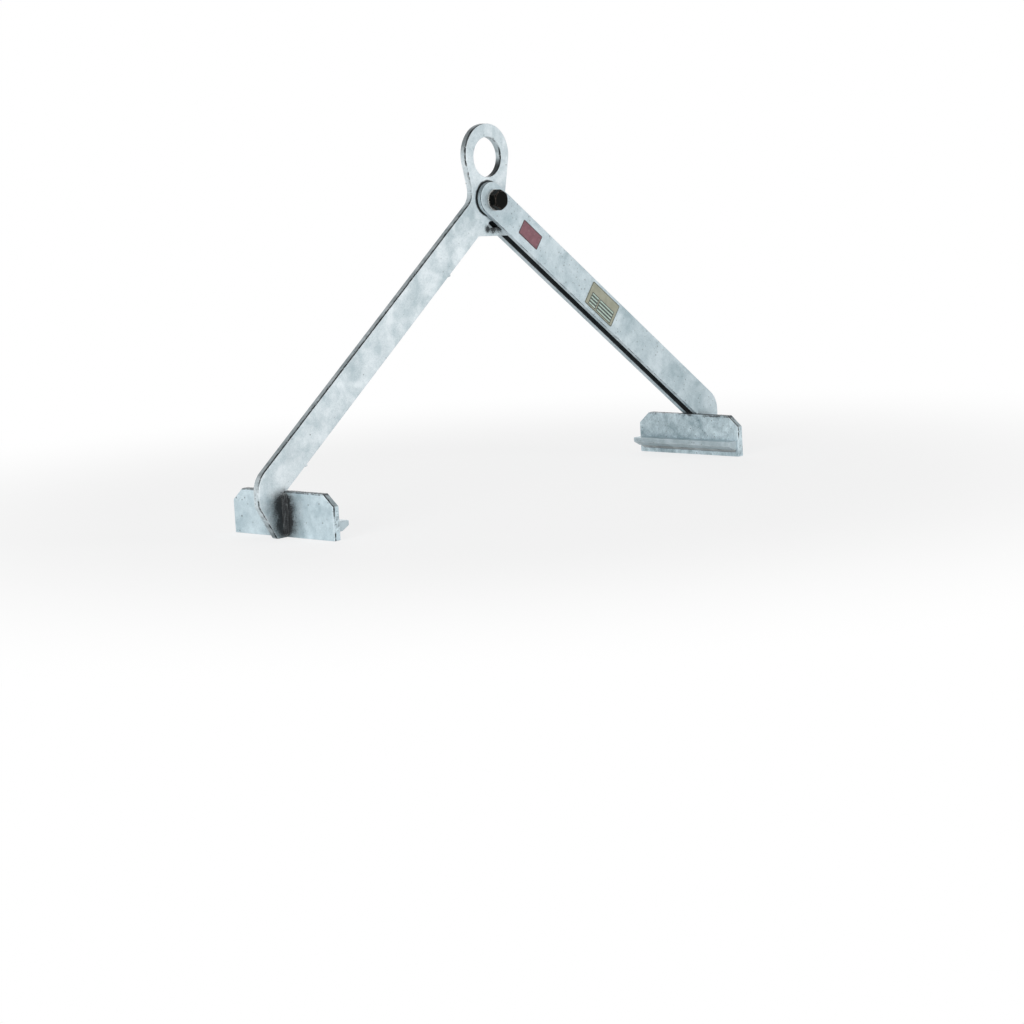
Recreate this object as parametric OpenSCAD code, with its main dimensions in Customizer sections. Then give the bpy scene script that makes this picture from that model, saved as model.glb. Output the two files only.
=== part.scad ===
// Drum lifter: an arm with a lifting eye and a two-bar arm turn on one pivot bolt, with a jaw under each.
// X runs from jaw to jaw, Z is up, and the origin is the centre of the eye's hole.

/* [Grip] */
// Length of the load held between the jaws
drum_len = 880; // [800:1:960]
// Gap between each end of the load and its jaw plate
grip_clear = 1; // [0.5:0.5:5]

/* [Lifting eye] */
// Diameter of the eye's hole
eye_d = 60; // [50:1:76]
// Width of the ring beside the eye's hole
eye_wall = 16; // [11:0.5:22]
// Extra width of the ring above the eye's hole
eye_crown = 3.5; // [0:0.5:8]
// Drop from the eye's centre to the pivot
pivot_drop = 64; // [58:1:90]

/* [Eye arm] */
// Thickness of the eye arm plate
eye_plate_t = 12; // [8:0.5:16]
// Radius of the boss round the pivot
boss_r = 31.5; // [28:0.5:38]
// Radius of the inside corner between neck and leg
neck_fillet_r = 26; // [6:1:36]

/* [Arms] */
// Width of both arms
arm_w = 48; // [40:1:56]
// Radius of the bend above each foot
elbow_r = 36; // [20:1:48]
// Thickness of each bar of the two-bar arm
bar_t = 8; // [5:0.5:12]
// Distance from the pivot to the centre of a bar's round end
bar_end_out = 5; // [0:0.5:8]
// Side gap between the eye arm and each bar
side_clear = 1; // [0.5:0.1:2]

/* [Feet] */
// Width of the arm's seat on the jaw plate's top edge
foot_seat = 5; // [3:0.5:9]
// Reach of the fin beyond the jaw plate's outer face
fin_out = 47; // [36:1:60]
// Drop from the jaw's top edge to the fin's lower corner
fin_corner_drop = 16; // [8:1:30]
// Reach of the toe beyond the jaw plate's outer face
toe_out = 17; // [12:1:28]

/* [Jaws] */
// Drop from the pivot to the top edge of the jaws
jaw_drop = 376; // [330:1:420]
// Length of a jaw plate across the lifter
jaw_len = 205; // [160:1:240]
// Height of a jaw plate
jaw_h = 65; // [56:1:80]
// Thickness of a jaw plate
jaw_t = 12; // [8:0.5:16]
// Length of the cut top corners along the jaw
corner_len = 20; // [8:1:30]
// Height of the cut top corners
corner_h = 17; // [8:1:24]

/* [Hook lips] */
// Length of a hook lip
lip_len = 200; // [140:1:205]
// Reach of a hook lip in from its jaw plate
lip_reach = 20; // [14:0.5:30]
// Thickness of a hook lip at the jaw
lip_root_t = 14; // [10:0.5:18]
// Thickness of a hook lip at its tip
lip_tip_t = 7; // [4:0.5:9]
// Flat width under the lip beside the jaw
lip_land = 7; // [6:0.5:10]
// Height of the lip's underside above the jaw's bottom edge
lip_raise = 11.5; // [8:0.5:18]

/* [Pivot] */
// Diameter of the pivot bolt
bolt_d = 16; // [12:1:18]
// Width across the flats of the bolt head and nut
hex_w = 27; // [24:1:30]
// Height of the bolt head
head_h = 12; // [8:0.5:15]
// Length of thread beyond the nut
thread_out = 3; // [2:0.5:8]
// Chamfer on the bolt's end
thread_chamfer = 1.5; // [0.5:0.25:3]
// Diametral clearance of the bolt in bars and washers
bolt_clear = 1; // [0.4:0.1:1.5]
// Radial clearance of threads and of the nut's insert
thread_clear = 0.05; // [0.02:0.01:0.1]
// Outer diameter of the bush
bush_d = 24; // [21:0.5:30]
// Radial running clearance round the bush
run_clear = 0.05; // [0.02:0.01:0.1]
// Radial clearance of the bolt in the bush
bush_fit = 0.1; // [0.05:0.01:0.2]
// Outer diameter of the washers
washer_d = 32; // [32:0.5:38]
// Thickness of the washers
washer_t = 3; // [2:0.25:5]

/* [Lock nut] */
// Height of the nut's hexagon
nut_h = 9.5; // [8:0.5:14]
// Height of the collar behind the hexagon
collar_h = 3; // [2.5:0.25:5]
// Outer diameter of the collar
collar_d = 21.5; // [19.5:0.25:23]
// Outer diameter of the insert ring
insert_d = 19; // [18:0.25:19.25]
// Thickness of the crimped edge that holds the ring
crimp_t = 0.7; // [0.5:0.1:1.2]

/* [Stop] */
// Distance along the arm from the pivot to the stop block
block_from = 46; // [43:0.5:56]
// Length of the stop block along the arm
block_len = 14; // [8:0.5:24]
// Height of the stop block across the arm
block_h = 16; // [12:0.5:20]
// Gap between nose and block at rest
stop_gap = 0.3; // [0.2:0.05:1]
// Drop from the pivot to the nose's lower edge
nose_drop = 52; // [48:0.5:56]
// Height of the nose at its root
nose_t = 10; // [8:0.5:14]
// Extra height of the nose at its end
nose_sag = 2.5; // [0:0.5:4]
// Distance from the pivot's centre line to the end of the relief slot
slot_end = 6; // [2:0.5:14]
// Radius at the end of the relief slot
slot_r = 5.5; // [3:0.5:6]

/* [Welds] */
// Leg of the beads at the fins
fin_weld = 7; // [4:0.5:9]
// Leg of the beads under the lips
lip_weld = 5; // [3:0.5:6]
// Leg of the beads at the stop block
block_weld = 3; // [2:0.5:4]
// Length of plate left bare at each end of a bead
weld_inset = 2; // [1:0.5:6]

/* [Plates on the bar] */
// Distance along the arm from the pivot to the red label's middle
label_at = 94.5; // [80:0.5:140]
// Length of the red label
label_len = 48; // [30:1:56]
// Width of the red label
label_w = 24; // [14:1:32]
// Thickness of the red label
label_t = 0.3; // [0.2:0.05:0.6]
// Distance along the arm from the pivot to the type plate's middle
type_at = 290.5; // [220:0.5:360]
// Length of the type plate
type_len = 73; // [50:1:90]
// Width of the type plate
type_w = 38; // [24:1:39]
// Thickness of the type plate
type_t = 0.8; // [0.5:0.1:1.5]
// Corner radius of both
type_corner_r = 2; // [0.5:0.5:4]

/* [Hidden] */
$fn = 96;
galvanised = [0.74, 0.79, 0.82];
weld_grey = [0.50, 0.54, 0.56];
bolt_black = [0.06, 0.06, 0.06];
zinc = [0.80, 0.81, 0.80];
nylon_blue = [0.25, 0.41, 0.88];
label_red = [0.55, 0.22, 0.28];
plate_olive = [0.58, 0.58, 0.46];

// Shares that give a hexagon its turned face and a bead its crown
hex_face_share = 0.95;
hex_cone_angle = 30;
bead_sink_share = 0.6;

// Lap by which a round passes the edges it blends into, and the reach of the piece that trims a corner
blend_lap = 0.02;
trim_reach = 1.5;

// Places along X, measured from the pivot's plane
jaw_inner_x = drum_len / 2 + grip_clear;
jaw_outer_x = jaw_inner_x + jaw_t;
foot_x = jaw_outer_x - foot_seat;
fin_x = jaw_outer_x + fin_out;

// Heights, measured from the eye's centre
pivot = [0, -pivot_drop];
jaw_top_z = -pivot_drop - jaw_drop;
jaw_bottom_z = jaw_top_z - jaw_h;
lip_bottom_z = jaw_bottom_z + lip_raise;
fin_corner_z = jaw_top_z - fin_corner_drop;
nose_bottom_z = -pivot_drop - nose_drop;
nose_top_z = nose_bottom_z + nose_t;

// Slope of the arms below the horizontal: the lower edge runs from the pivot to the inner end of the seat
slope = atan2(jaw_drop, foot_x) - asin(arm_w / 2 / norm([foot_x, jaw_drop]));
along = [cos(slope), -sin(slope)];
across = [sin(slope), cos(slope)];

// Layers across the lifter, measured from its middle plane
bar_inner_y = eye_plate_t / 2 + side_clear;
bar_outer_y = bar_inner_y + bar_t;
bar_gap = 2 * bar_inner_y;
washer_outer_y = bar_outer_y + washer_t;
nut_end_y = washer_outer_y + nut_h + collar_h;
bolt_end_y = nut_end_y + thread_out;

// Elbow: the upper edge meets the fin's upright edge at its corner
elbow_run = elbow_r * tan((90 - slope) / 2);
elbow_corner_z = -pivot_drop + (arm_w / 2 - fin_x * sin(slope)) / cos(slope);
elbow_corner = [fin_x, elbow_corner_z];
elbow_centre = [fin_x - elbow_r, elbow_corner_z - elbow_run];

// Neck: tangents from the ring to the boss
ring_r = eye_d / 2 + eye_wall;
ring_centre = [0, eye_crown];
neck_lean = asin((ring_r - boss_r) / (pivot_drop + eye_crown));
neck_side = [-cos(neck_lean), -sin(neck_lean)];
leg_side = [-sin(slope), cos(slope)];

// Inside corner between neck and leg: a circle that touches both edges from outside
neck_reach = neck_side * pivot + boss_r + neck_fillet_r;
leg_reach = leg_side * pivot + arm_w / 2 + neck_fillet_r;
corner_turn = -cos(neck_lean - slope);
fillet_centre = [
    (neck_reach * cos(slope) + leg_reach * sin(neck_lean)) / corner_turn,
    (neck_reach * sin(slope) - leg_reach * cos(neck_lean)) / corner_turn
];

// Nose: its end face is parallel to the stop block's face
stop_at = block_from - stop_gap;
function nose_end(z) = [(stop_at + (z + pivot_drop) * sin(slope)) / cos(slope), z];
nose_root_x = -(nose_drop - arm_w / 2 / cos(slope)) / tan(slope);

// Lengths of the weld beads
fin_weld_len = jaw_h - 2 * weld_inset;
lip_weld_len = lip_len - 2 * weld_inset;
block_weld_len = block_h - 2 * weld_inset;

// Stands an XZ outline up as a plate of the given thickness about the middle plane y
module upright(thickness, y = 0) {
    translate([0, y, 0])
        rotate([90, 0, 0])
            linear_extrude(height = thickness, center = true) children();
}

// Puts children on the two-bar arm: X along it from the pivot, Z towards its upper edge
module on_bar() {
    translate([0, 0, -pivot_drop]) rotate([0, slope, 0]) children();
}

// Puts children on the pivot, with their Z axis along the bolt towards the nut
module on_bolt(y = 0) {
    translate([0, y, -pivot_drop]) rotate([-90, 0, 0]) children();
}

module on_left() {
    mirror([1, 0, 0]) children();
}

// Leg with elbow, fin and toe, notched for the jaw plate, on the +X side, drawn back past the pivot
module leg_outline(back = 0) {
    hip = pivot - along * back + across * arm_w / 2;
    groin = pivot - along * back - across * arm_w / 2;
    elbow_start = elbow_corner - along * elbow_run;
    elbow_end = elbow_corner - [0, elbow_run];
    kite = [elbow_centre, elbow_end, elbow_corner, elbow_start];
    trim = [for (p = kite) elbow_centre + (p - elbow_centre) * trim_reach];
    difference() {
        polygon([
            groin, [foot_x, jaw_top_z], [jaw_outer_x, jaw_top_z], [jaw_outer_x, jaw_bottom_z],
            [jaw_outer_x + toe_out, jaw_bottom_z], [fin_x, fin_corner_z], elbow_corner, hip
        ]);
        difference() {
            polygon(trim);
            translate(elbow_centre) circle(elbow_r + blend_lap);
        }
    }
}

// Ring, neck and boss of the eye arm
module head_outline() {
    flip = [[-1, 0], [0, 1]];
    translate(ring_centre) circle(ring_r + blend_lap);
    translate(pivot) circle(boss_r + blend_lap);
    polygon([
        ring_centre + neck_side * ring_r, pivot + neck_side * boss_r,
        pivot + flip * neck_side * boss_r, ring_centre + flip * neck_side * ring_r
    ]);
    difference() {
        polygon([pivot, fillet_centre - neck_side * neck_fillet_r, fillet_centre - leg_side * neck_fillet_r]);
        translate(fillet_centre) circle(neck_fillet_r + blend_lap);
    }
}

// Stop nose below the boss, with the root that joins it to the leg
module nose_outline() {
    polygon([
        [nose_root_x - nose_t, nose_bottom_z], [nose_root_x, nose_bottom_z],
        nose_end(nose_bottom_z - nose_sag), nose_end(nose_top_z),
        [slot_r - slot_end, nose_top_z], [slot_r - slot_end, -pivot_drop]
    ]);
}

// Relief slot above the nose, with a round end and open to the right
module slot_outline() {
    translate([slot_r - slot_end, nose_top_z]) {
        square([slot_end + block_from, nose_drop - nose_t]);
        translate([0, slot_r]) circle(slot_r);
    }
}

module eye_arm() {
    color(galvanised)
        upright(eye_plate_t)
            difference() {
                union() {
                    head_outline();
                    difference() {
                        union() {
                            nose_outline();
                            mirror([1, 0]) leg_outline();
                        }
                        slot_outline();
                    }
                }
                circle(d = eye_d);
                translate(pivot) circle(bush_d / 2 + run_clear);
            }
}

// One bar of the two-bar arm with its round end and bolt hole
module arm_bar(y) {
    color(galvanised)
        upright(bar_t, y)
            difference() {
                union() {
                    leg_outline(bar_end_out);
                    translate(pivot - along * bar_end_out) circle(arm_w / 2 + blend_lap);
                }
                translate(pivot) circle(d = bolt_d + bolt_clear);
            }
}

module front_arm_plate() {
    arm_bar(-bar_inner_y - bar_t / 2);
}

module rear_arm_plate() {
    arm_bar(bar_inner_y + bar_t / 2);
}

module stop_block() {
    color(galvanised)
        on_bar()
            translate([block_from, -bar_inner_y, -arm_w / 2]) cube([block_len, bar_gap, block_h]);
}

// Jaw plate on the +X side: a flat plate with its two top corners cut off
module jaw_plate() {
    top = jaw_len / 2 - corner_len;
    side = jaw_len / 2;
    color(galvanised)
        translate([jaw_inner_x, 0, 0])
            rotate([90, 0, 90])
                linear_extrude(height = jaw_t)
                    polygon([
                        [-side, jaw_bottom_z], [side, jaw_bottom_z], [side, jaw_top_z - corner_h],
                        [top, jaw_top_z], [-top, jaw_top_z], [-side, jaw_top_z - corner_h]
                    ]);
}

// Hook lip on the +X side: flat on top, thinner towards its tip
module hook_lip() {
    color(galvanised)
        upright(lip_len)
            translate([jaw_inner_x, lip_bottom_z])
                polygon([
                    [0, 0], [0, lip_root_t], [-lip_reach, lip_root_t],
                    [-lip_reach, lip_root_t - lip_tip_t], [-lip_land, 0]
                ]);
}

// Slightly crowned fillet bead along Z, in the corner between the XZ and YZ planes
module weld_bead(leg, length) {
    sunk = bead_sink_share * leg;
    linear_extrude(height = length)
        intersection() {
            square(leg);
            translate([-sunk, -sunk]) circle(norm([leg + sunk, sunk]));
        }
}

// Beads on both sides of a foot of the given half thickness, on the +X side
module fin_beads(half_t) {
    color(weld_grey)
        for (side = [0, 1])
            mirror([0, side, 0])
                translate([jaw_outer_x, half_t, jaw_bottom_z + weld_inset]) weld_bead(fin_weld, fin_weld_len);
}

// Bead under the lip on the +X side
module lip_bead() {
    color(weld_grey)
        translate([jaw_inner_x, lip_weld_len / 2, lip_bottom_z])
            rotate([90, 0, 0]) rotate([0, 0, 180]) weld_bead(lip_weld, lip_weld_len);
}

module left_jaw_plate() { on_left() jaw_plate(); }
module left_hook_lip() { on_left() hook_lip(); }
module left_fin_welds() { on_left() fin_beads(eye_plate_t / 2); }
module left_lip_weld() { on_left() lip_bead(); }
module right_jaw_plate() { jaw_plate(); }
module right_hook_lip() { hook_lip(); }
module right_fin_welds() { fin_beads(bar_outer_y); }
module right_lip_weld() { lip_bead(); }

// Beads behind the stop block, one on each bar
module stop_block_welds() {
    color(weld_grey)
        on_bar()
            for (side = [0, 1])
                mirror([0, side, 0])
                    translate([block_from + block_len, bar_inner_y, -arm_w / 2 + weld_inset])
                        mirror([0, 1, 0]) weld_bead(block_weld, block_weld_len);
}

// Tube along the bolt
module sleeve(outer_d, inner_d, length) {
    linear_extrude(height = length)
        difference() {
            circle(d = outer_d);
            circle(d = inner_d);
        }
}

module pivot_bush() {
    color(zinc) on_bolt(-bar_inner_y) sleeve(bush_d, bolt_d + 2 * bush_fit, bar_gap);
}

module head_washer() {
    color(zinc) on_bolt(-washer_outer_y) sleeve(washer_d, bolt_d + bolt_clear, washer_t);
}

module nut_washer() {
    color(zinc) on_bolt(bar_outer_y) sleeve(washer_d, bolt_d + bolt_clear, washer_t);
}

// Hexagon along Z with its corners upright and its top edge turned to a cone
module hexagon(height) {
    corner_r = hex_w / sqrt(3);
    face_r = hex_face_share * hex_w / 2;
    drop = (corner_r - face_r) * tan(hex_cone_angle);
    intersection() {
        rotate([0, 0, 30]) cylinder(h = height, r = corner_r, $fn = 6);
        rotate_extrude()
            polygon([[0, 0], [corner_r, 0], [corner_r, height - drop], [face_r, height], [0, height]]);
    }
}

module pivot_bolt() {
    shank_len = bolt_end_y + washer_outer_y;
    color(bolt_black)
        on_bolt(-washer_outer_y) {
            mirror([0, 0, 1]) hexagon(head_h);
            rotate_extrude()
                polygon([
                    [0, 0], [bolt_d / 2, 0], [bolt_d / 2, shank_len - thread_chamfer],
                    [bolt_d / 2 - thread_chamfer, shank_len], [0, shank_len]
                ]);
        }
}

// Hexagon nut with a collar that holds the insert ring
module lock_nut() {
    bore_d = bolt_d + 2 * thread_clear;
    color(zinc)
        on_bolt(washer_outer_y)
            difference() {
                union() {
                    hexagon(nut_h);
                    cylinder(h = nut_h + collar_h, d = collar_d);
                }
                translate([0, 0, -1]) cylinder(h = nut_h + collar_h + 2, d = bore_d);
                translate([0, 0, nut_h]) cylinder(h = collar_h - crimp_t, d = insert_d + 2 * thread_clear);
            }
}

module nut_insert_ring() {
    color(nylon_blue)
        on_bolt(washer_outer_y + nut_h) sleeve(insert_d, bolt_d + 2 * thread_clear, collar_h - crimp_t);
}

// Thin plate with round corners on the front bar, centred at a distance from the pivot
module bar_plate(at, length, width, thickness) {
    on_bar()
        translate([at, -bar_outer_y, 0])
            rotate([90, 0, 0])
                linear_extrude(height = thickness) {
                    square([length, width - 2 * type_corner_r], center = true);
                    square([length - 2 * type_corner_r, width], center = true);
                    for (x = [-1, 1], z = [-1, 1])
                        translate([x * (length / 2 - type_corner_r), z * (width / 2 - type_corner_r)])
                            circle(type_corner_r);
                }
}

module marking_label() {
    color(label_red) bar_plate(label_at, label_len, label_w, label_t);
}

module type_plate() {
    color(plate_olive) bar_plate(type_at, type_len, type_w, type_t);
}

eye_arm();
left_jaw_plate();
left_hook_lip();
left_fin_welds();
left_lip_weld();
front_arm_plate();
rear_arm_plate();
stop_block();
stop_block_welds();
right_jaw_plate();
right_hook_lip();
right_fin_welds();
right_lip_weld();
pivot_bush();
pivot_bolt();
head_washer();
nut_washer();
lock_nut();
nut_insert_ring();
marking_label();
type_plate();
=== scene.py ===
"""Dresses the drum lifter: zinc coated plates, rippled weld beads, pivot hardware and two bare plates.

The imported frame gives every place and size. Lengths are in metres, X runs from jaw to jaw, Y goes
from the bolt head to the nut and Z is up, with the origin in the centre of the lifting eye.
"""
import logging
import math
from dataclasses import dataclass
from enum import Enum
from typing import Iterable, Optional, Sequence, Union

import bmesh
import bpy
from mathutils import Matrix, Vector, noise


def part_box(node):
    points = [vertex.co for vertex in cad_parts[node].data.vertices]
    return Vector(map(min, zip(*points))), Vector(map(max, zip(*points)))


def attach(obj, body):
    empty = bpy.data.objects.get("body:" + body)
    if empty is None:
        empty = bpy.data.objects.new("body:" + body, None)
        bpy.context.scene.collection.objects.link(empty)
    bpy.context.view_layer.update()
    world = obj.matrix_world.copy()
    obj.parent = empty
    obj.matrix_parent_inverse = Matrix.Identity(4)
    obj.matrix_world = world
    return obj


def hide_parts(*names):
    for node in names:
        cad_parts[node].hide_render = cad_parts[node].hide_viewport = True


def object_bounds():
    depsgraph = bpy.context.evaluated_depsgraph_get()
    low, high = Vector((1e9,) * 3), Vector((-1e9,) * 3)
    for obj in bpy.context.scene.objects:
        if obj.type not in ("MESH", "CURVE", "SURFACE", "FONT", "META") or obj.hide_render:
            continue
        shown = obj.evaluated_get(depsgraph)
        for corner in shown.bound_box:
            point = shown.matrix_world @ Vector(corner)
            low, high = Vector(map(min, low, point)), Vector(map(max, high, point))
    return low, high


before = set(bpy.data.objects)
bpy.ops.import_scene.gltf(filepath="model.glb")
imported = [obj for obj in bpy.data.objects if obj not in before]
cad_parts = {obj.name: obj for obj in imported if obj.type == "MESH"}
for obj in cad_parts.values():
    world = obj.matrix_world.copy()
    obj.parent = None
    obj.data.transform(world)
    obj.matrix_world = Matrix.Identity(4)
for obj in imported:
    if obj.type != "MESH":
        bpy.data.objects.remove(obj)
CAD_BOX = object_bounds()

LOG = logging.getLogger("drum_lifter")
MM = 0.001
MERGE_DISTANCE = 1e-6
FLAT_ANGLE = math.radians(1.0)
SHARP_ANGLE = math.radians(30.0)
TURNED_ANGLE = math.radians(24.0)
WALL_LIMIT = 0.2
UPWARD_GAIN = 1.4
FACING = 0.98
STAIN_REACH = 36.0 * MM
STAIN_OFF = 3.0 * MM
STAIN_BELOW = 8.0 * MM
STAIN_ABOVE = 7.0 * MM

Colour = tuple[float, float, float, float]
Triple = tuple[float, float, float]
Mesh = bmesh.types.BMesh
Material = bpy.types.Material
Tree = bpy.types.NodeTree
Socket = bpy.types.NodeSocket
Feed = Union[Socket, float, Sequence[float]]


class Body(Enum):
    """The two bodies that turn against each other on the pivot bolt."""

    EYE_ARM = "eye_arm_side"
    TWO_BAR = "two_bar_arm"


class Slot(Enum):
    """Material slots of the record."""

    ZINC_COAT = "galvanised_steel"
    WELD = "weld_metal"
    BLACK = "black_bolt"
    PLATED = "zinc_hardware"
    NYLON = "nylon"
    FOIL = "red_foil"
    PLATE = "type_plate"


class Side(Enum):
    """The two ends of the lifter, with the sign of X there."""

    LEFT = -1
    RIGHT = 1


class Mask(Enum):
    """Face attributes that the finishes read."""

    UPWARD = "upward_wall"
    CUT = "cut_wall"
    ARRIS = "arris"
    HIDDEN = "painted_gap_shade"


def tint(red: float, green: float, blue: float) -> Colour:
    """Returns an opaque linear colour."""
    return (red, green, blue, 1.0)


class Wiring:
    """Adds and links the nodes of one shader tree."""

    def __init__(self, tree: Tree) -> None:
        """Keeps the tree that the nodes go into."""
        self.tree = tree

    def feed(self, socket: Socket, value: Feed) -> None:
        """Links a socket to another one, or sets its own value.

        Args:
            socket: The input to feed.
            value: A socket, a number or a colour.
        """
        if isinstance(value, Socket):
            self.tree.links.new(value, socket)
        else:
            socket.default_value = value

    def add(self, kind: str, inputs: Optional[dict[str, Feed]] = None,
            **settings: object) -> bpy.types.Node:
        """Adds a node.

        Args:
            kind: The node's type name.
            inputs: Values or sockets by input name.
            settings: Attributes of the node itself.

        Returns:
            The new node.
        """
        node = self.tree.nodes.new(kind)
        for key, value in settings.items():
            setattr(node, key, value)
        for key, value in (inputs or {}).items():
            self.feed(node.inputs[key], value)
        return node

    def math(self, operation: str, first: Feed, second: Feed = 0.0, clamp: bool = False) -> Socket:
        """Adds one Math node.

        Args:
            operation: The node's operation.
            first: Its first value.
            second: Its second value.
            clamp: Whether the result stays between 0 and 1.

        Returns:
            The result's socket.
        """
        node = self.add("ShaderNodeMath", operation=operation, use_clamp=clamp)
        self.feed(node.inputs[0], first)
        self.feed(node.inputs[1], second)
        return node.outputs[0]

    def step(self, value: Feed, low: Feed, high: Feed, to_low: float = 0.0, to_high: float = 1.0) -> Socket:
        """Maps a value smoothly from one range to another.

        Args:
            value: The value to map.
            low: Where the change starts.
            high: Where it ends.
            to_low: The result up to low.
            to_high: The result from high on.

        Returns:
            The result's socket.
        """
        inputs = {"Value": value, "From Min": low, "From Max": high, "To Min": to_low, "To Max": to_high}
        node = self.add("ShaderNodeMapRange", inputs, interpolation_type="SMOOTHSTEP")
        return node.outputs["Result"]

    def mix(self, share: Feed, first: Feed, second: Feed, blend: str = "MIX") -> Socket:
        """Mixes two colours.

        Args:
            share: How much of the second one shows.
            first: The colour below.
            second: The colour above.
            blend: The blend type.

        Returns:
            The mixed colour's socket.
        """
        node = self.add("ShaderNodeMix", data_type="RGBA", blend_type=blend)
        self.feed(node.inputs[0], share)
        self.feed(node.inputs[6], first)
        self.feed(node.inputs[7], second)
        return node.outputs[2]

    def noise(self, vector: Feed, scale: Feed, detail: float = 3.0, roughness: float = 0.55,
              distortion: float = 0.0) -> Socket:
        """Adds a noise texture.

        Args:
            vector: Where it is read.
            scale: Its cells per metre.
            detail: Its octaves.
            roughness: The weight of the finer octaves.
            distortion: How far it is bent.

        Returns:
            The socket of its value.
        """
        node = self.add("ShaderNodeTexNoise", {
            "Vector": vector, "Scale": scale, "Detail": detail, "Roughness": roughness,
            "Distortion": distortion,
        })
        return node.outputs[0]

    def mask(self, mask: Mask) -> Socket:
        """Reads one of the face attributes."""
        return self.add("ShaderNodeAttribute", attribute_name=mask.value).outputs["Fac"]

    def axis(self, vector: Feed, axis: int) -> Socket:
        """Reads one part of a vector."""
        return self.add("ShaderNodeSeparateXYZ", {"Vector": vector}).outputs[axis]

    def length(self, first: Feed, second: Feed) -> Socket:
        """Returns the length of a vector with two parts."""
        squares = [self.math("MULTIPLY", part, part) for part in (first, second)]
        return self.math("SQRT", self.math("ADD", *squares))

    def around(self, value: Feed, share: Feed) -> Socket:
        """Returns how far a value lies from a half, times a share."""
        return self.math("MULTIPLY", self.math("SUBTRACT", value, 0.5), share)

    def cover(self, colour: Feed, over: Colour, mask: Feed, share: float) -> Socket:
        """Lays a colour over another where a mask shows.

        Args:
            colour: The colour below.
            over: The colour above.
            mask: Where it shows.
            share: How much of it shows there.

        Returns:
            The mixed colour's socket.
        """
        return self.mix(self.math("MULTIPLY", mask, share), colour, over)


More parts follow.
